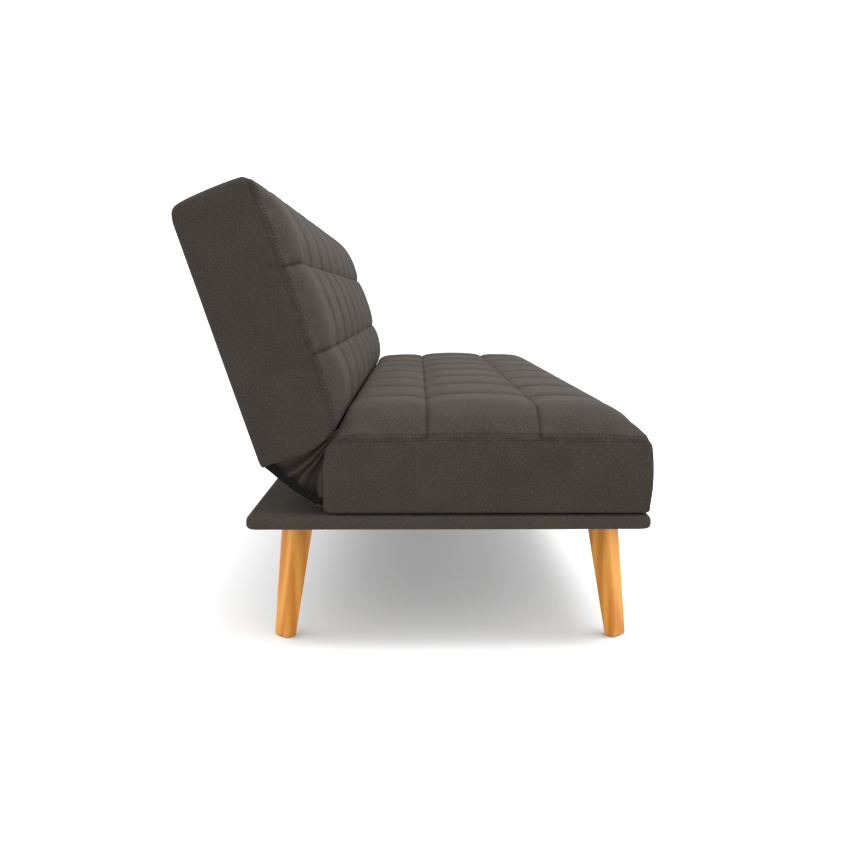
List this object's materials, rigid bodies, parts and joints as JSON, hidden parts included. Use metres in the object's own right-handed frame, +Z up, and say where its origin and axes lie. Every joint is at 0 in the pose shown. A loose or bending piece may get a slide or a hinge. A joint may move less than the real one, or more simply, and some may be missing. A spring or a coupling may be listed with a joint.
{
  "type": "futon sofa bed",
  "caption": "Armless upholstered sofa with a quilted seat and a quilted back that reclines flat on a thin platform with splayed wooden legs.",
  "frame": {"origin": "centre of the whole object's box at floor level", "axes": "+X along the sofa, +Y from the seat's front towards the back, +Z up"},
  "size_m": [1.8, 0.8159, 0.82],
  "materials": {
    "cushion_fabric": "matte woven upholstery",
    "platform_fabric": "matte woven upholstery",
    "black_lining": "matte non-woven",
    "honey_wood": "satin lacquer",
    "plywood": "raw",
    "pine_timber": "raw",
    "foam": "matte",
    "spring_felt": "matte",
    "spring_steel": "satin",
    "zinc_steel": "zinc plated",
    "nylon": "matte",
    "rubber_spacer": "matte"
  },
  "bodies": {
    "base": {"foot_glides": "nylon", "gusset_left": "cushion_fabric", "gusset_right": "cushion_fabric", "hinge_lining": "black_lining", "hinge_seat_plate_left": "zinc_steel", "hinge_seat_plate_right": "zinc_steel", "leg_bolts": "zinc_steel", "leg_front_left": "honey_wood", "leg_front_right": "honey_wood", "leg_rear_left": "honey_wood", "leg_rear_right": "honey_wood", "leg_tee_nuts": "zinc_steel", "pawl_pins": "zinc_steel", "pawl_springs": "spring_steel", "pivot_bolt_left": "zinc_steel", "pivot_bolt_right": "zinc_steel", "pivot_nut_left": "zinc_steel", "pivot_nut_right": "zinc_steel", "platform_board": "plywood", "platform_cover": "platform_fabric", "platform_lining": "black_lining", "seat_cover": "cushion_fabric", "seat_cross_rails": "pine_timber", "seat_end_rail_left": "pine_timber", "seat_end_rail_right": "pine_timber", "seat_felt": "spring_felt", "seat_fixing_screws": "zinc_steel", "seat_foam": "foam", "seat_frame_screws": "zinc_steel", "seat_lining": "black_lining", "seat_plate_screws": "zinc_steel", "seat_rail_front": "pine_timber", "seat_rail_rear": "pine_timber", "seat_spacers": "rubber_spacer", "seat_spring_clips": "spring_steel", "seat_springs": "spring_steel"},
    "back": {"back_arm_screws": "zinc_steel", "back_cover": "cushion_fabric", "back_end_rail_left": "pine_timber", "back_end_rail_right": "pine_timber", "back_felt": "spring_felt", "back_foam": "foam", "back_frame_screws": "zinc_steel", "back_rail_bottom": "pine_timber", "back_rail_top": "pine_timber", "back_spring_clips": "spring_steel", "back_springs": "spring_steel", "back_uprights": "pine_timber", "hinge_back_arm_left": "zinc_steel", "hinge_back_arm_right": "zinc_steel"},
    "pawl_left": {"pawl_left": "zinc_steel"},
    "pawl_right": {"pawl_right": "zinc_steel"}
  },
  "joints": [
    {"name": "back_recline", "type": "hinge", "parent": "base", "child": "back", "pos_m": [0, 0.16304, 0.361], "axis": [-1, 0, 0], "range_deg": [-8, 71.5], "deforming": ["gusset_left", "gusset_right", "hinge_lining"]},
    {"name": "pawl_left_swing", "type": "hinge", "parent": "base", "child": "pawl_left", "pos_m": [-0.8685, 0.1138, 0.35232], "axis": [1, 0, 0], "range_deg": [0, 13]},
    {"name": "pawl_right_swing", "type": "hinge", "parent": "base", "child": "pawl_right", "pos_m": [0.8685, 0.1138, 0.35232], "axis": [1, 0, 0], "range_deg": [0, 13]}
  ]
}
